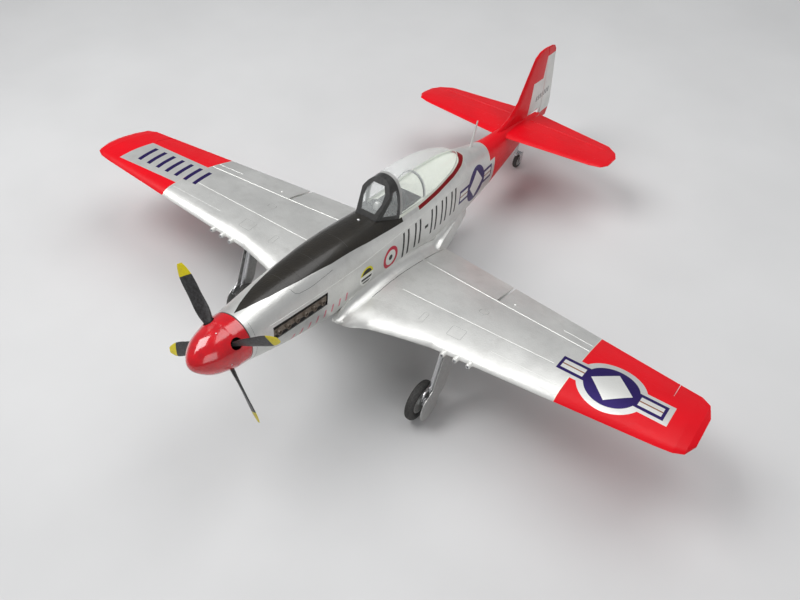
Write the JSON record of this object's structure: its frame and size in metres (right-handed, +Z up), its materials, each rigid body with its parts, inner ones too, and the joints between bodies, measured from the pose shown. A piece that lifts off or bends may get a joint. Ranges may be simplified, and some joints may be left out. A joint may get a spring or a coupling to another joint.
{
  "type": "radio-controlled warbird aeroplane",
  "caption": "Foam radio-controlled low-wing fighter on retractable tail-dragger wheels, with bladed nose propeller, bubble canopy, belly scoop and hinged control surfaces.",
  "frame": {"origin": "on the floor under the middle of the standing model's box", "axes": "+X towards the left wing tip, -Y towards the nose, +Z up; the model stands nose up on its three wheels"},
  "size_m": [1.4486, 1.2928, 0.4395],
  "materials": {
    "silver_foam": "satin silver paint over foam",
    "red_foam": "satin red paint over foam",
    "black_foam": "satin black paint over foam",
    "red_gloss": "gloss red",
    "black_plastic": "satin",
    "grey_plastic": "satin",
    "silver_plastic": "satin silver paint",
    "clear": "clear",
    "steel": "satin",
    "aluminium": "satin",
    "tyre": "matte",
    "carbon": "satin",
    "pack_wrap": "satin",
    "strap": "woven"
  },
  "bodies": {
    "airframe": {"fuselage_shell": "silver_foam", "wing_left": "silver_foam", "wing_right": "silver_foam", "wing_spar": "carbon", "radiator_scoop": "silver_foam", "exhaust_stacks": "black_plastic", "gun_barrels": "silver_plastic", "fin": "red_foam", "tailplane": "red_foam", "antenna_mast": "silver_plastic", "firewall": "grey_plastic", "motor_stator": "steel", "speed_controller": "black_plastic", "battery_tray": "grey_plastic", "battery_pack": "pack_wrap", "battery_strap": "strap", "receiver": "black_plastic", "servos": "black_plastic", "retract_units": "black_plastic"},
    "hatch": {"hatch_deck": "black_foam", "windshield_frame": "black_plastic", "windshield_glass": "clear", "canopy_frame": "silver_plastic", "canopy_glass": "clear", "cockpit_tub": "grey_plastic", "instrument_panel": "black_plastic", "pilot_seat": "grey_plastic", "canopy_bow": "silver_plastic"},
    "propeller": {"spinner": "red_gloss", "prop_blades": "black_plastic", "prop_hub": "black_plastic", "spinner_backplate": "black_plastic", "prop_shaft": "steel", "prop_nut": "steel", "motor_bell": "aluminium"},
    "elevator": {"elevator": "red_foam"},
    "rudder": {"rudder": "silver_foam"},
    "tail_fork": {"tail_fork": "steel"},
    "tail_wheel": {"tail_tyre": "tyre", "tail_hub": "grey_plastic"},
    "aileron_left": {"aileron_left": "silver_foam", "aileron_horn_left": "black_plastic"},
    "flap_left": {"flap_left": "silver_foam", "flap_horn_left": "black_plastic"},
    "gear_leg_left": {"gear_leg_left": "aluminium", "gear_door_left": "silver_plastic"},
    "oleo_left": {"oleo_left": "steel"},
    "main_wheel_left": {"main_tyre_left": "tyre", "main_hub_left": "silver_plastic"},
    "aileron_right": {"aileron_right": "silver_foam", "aileron_horn_right": "black_plastic"},
    "flap_right": {"flap_right": "silver_foam", "flap_horn_right": "black_plastic"},
    "gear_leg_right": {"gear_leg_right": "aluminium", "gear_door_right": "silver_plastic"},
    "oleo_right": {"oleo_right": "steel"},
    "main_wheel_right": {"main_tyre_right": "tyre", "main_hub_right": "silver_plastic"}
  },
  "joints": [
    {"name": "prop_spin", "type": "hinge", "parent": "airframe", "child": "propeller", "pos_m": [0, -0.57731, 0.31342], "axis": [0, 0.9804, -0.1968], "continuous": true},
    {"name": "hatch_lift", "type": "slide", "parent": "airframe", "child": "hatch", "axis": [0, 0.1968, 0.9804], "range_m": [0, 0.12]},
    {"name": "aileron_left_hinge", "type": "hinge", "parent": "airframe", "child": "aileron_left", "pos_m": [0.27432, -0.09924, 0.16675], "axis": [0.9927, -0.105, 0.0594], "range_deg": [-25, 25]},
    {"name": "flap_left_hinge", "type": "hinge", "parent": "airframe", "child": "flap_left", "pos_m": [0.07838, -0.08124, 0.12699], "axis": [-0.9896, 0.1119, -0.0902], "range_deg": [0, 40]},
    {"name": "aileron_right_hinge", "type": "hinge", "parent": "airframe", "child": "aileron_right", "pos_m": [-0.27432, -0.09924, 0.16675], "axis": [0.9927, 0.105, -0.0594], "range_deg": [-25, 25]},
    {"name": "flap_right_hinge", "type": "hinge", "parent": "airframe", "child": "flap_right", "pos_m": [-0.07838, -0.08124, 0.12699], "axis": [-0.9896, -0.1119, 0.0902], "range_deg": [0, 40]},
    {"name": "elevator_hinge", "type": "hinge", "parent": "airframe", "child": "elevator", "pos_m": [0, 0.49589, 0.14963], "axis": [1, 0, 0], "range_deg": [-25, 25]},
    {"name": "rudder_hinge", "type": "hinge", "parent": "airframe", "child": "rudder", "pos_m": [0, 0.58393, 0.10698], "axis": [0, 0.0384, 0.9993], "range_deg": [-30, 30]},
    {"name": "tail_steer", "type": "hinge", "parent": "airframe", "child": "tail_fork", "pos_m": [0, 0.48606, 0.07244], "axis": [0, 0.1968, 0.9804], "range_deg": [-26, 26]},
    {"name": "tail_wheel_spin", "type": "hinge", "parent": "tail_fork", "child": "tail_wheel", "pos_m": [0, 0.49593, 0.02], "axis": [1, 0, 0], "continuous": true},
    {"name": "retract_left", "type": "hinge", "parent": "airframe", "child": "gear_leg_left", "pos_m": [0.248, -0.25676, 0.16749], "axis": [0.2144, 0.8937, -0.394], "range_deg": [0, 88.3]},
    {"name": "oleo_left_slide", "type": "slide", "parent": "gear_leg_left", "child": "oleo_left", "axis": [0, 0.4454, 0.8953], "range_m": [0, 0.01], "stiffness_N_per_m": 1500, "springref_m": -0.012},
    {"name": "main_wheel_left_spin", "type": "hinge", "parent": "oleo_left", "child": "main_wheel_left", "pos_m": [0.231, -0.31819, 0.044], "axis": [1, 0, 0], "continuous": true},
    {"name": "retract_right", "type": "hinge", "parent": "airframe", "child": "gear_leg_right", "pos_m": [-0.248, -0.25676, 0.16749], "axis": [0.2144, -0.8937, 0.394], "range_deg": [0, 88.3]},
    {"name": "oleo_right_slide", "type": "slide", "parent": "gear_leg_right", "child": "oleo_right", "axis": [0, 0.4454, 0.8953], "range_m": [0, 0.01], "stiffness_N_per_m": 1500, "springref_m": -0.012},
    {"name": "main_wheel_right_spin", "type": "hinge", "parent": "oleo_right", "child": "main_wheel_right", "pos_m": [-0.231, -0.31819, 0.044], "axis": [1, 0, 0], "continuous": true}
  ],
  "couplings": [
    {"joint": "aileron_right_hinge", "follows": "aileron_left_hinge", "ratio": -1},
    {"joint": "flap_right_hinge", "follows": "flap_left_hinge", "ratio": 1},
    {"joint": "tail_steer", "follows": "rudder_hinge", "ratio": 0.8},
    {"joint": "retract_right", "follows": "retract_left", "ratio": 1}
  ]
}
